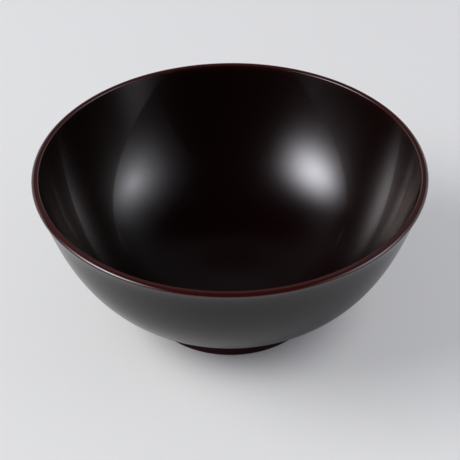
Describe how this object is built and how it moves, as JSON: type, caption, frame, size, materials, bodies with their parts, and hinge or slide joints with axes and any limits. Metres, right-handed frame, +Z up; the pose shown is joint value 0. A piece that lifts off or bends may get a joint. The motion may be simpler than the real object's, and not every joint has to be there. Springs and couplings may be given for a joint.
{
  "type": "bowl",
  "caption": "Open round soup bowl of turned and lacquered wood, with a thin rounded lip, a deep curved belly and a low flared foot ring that it stands on.",
  "frame": {"origin": "middle of the foot ring's underside, on the surface that the bowl stands on", "axes": "+Z up along the turning axis; X and Y lie in the table's plane and are free, because the bowl is round"},
  "size_m": [0.13, 0.13, 0.0567],
  "materials": {
    "core_wood": "fine turned hardwood, sealed",
    "hemp_cloth": "plain weave, soaked in lacquer paste",
    "ground_coat": "matte, wet sanded",
    "red_lacquer": "satin, sanded between coats",
    "inner_lacquer": "satin gloss, almost black with a red tint",
    "lip_lacquer": "gloss, thin and red-brown over the lip",
    "outer_lacquer": "satin gloss, almost black",
    "foot_lacquer": "satin gloss, dark red-brown",
    "well_lacquer": "satin, almost black"
  },
  "bodies": {
    "root": {"wood_core": "core_wood", "rim_cloth": "hemp_cloth", "foot_cloth": "hemp_cloth", "floor_cloth": "hemp_cloth", "inner_ground_coat": "ground_coat", "outer_ground_coat": "ground_coat", "inner_red_coat": "red_lacquer", "outer_red_coat": "red_lacquer", "inner_top_coat": "inner_lacquer", "lip_top_coat": "lip_lacquer", "outer_top_coat": "outer_lacquer", "foot_top_coat": "foot_lacquer", "well_top_coat": "well_lacquer"}
  },
  "joints": []
}
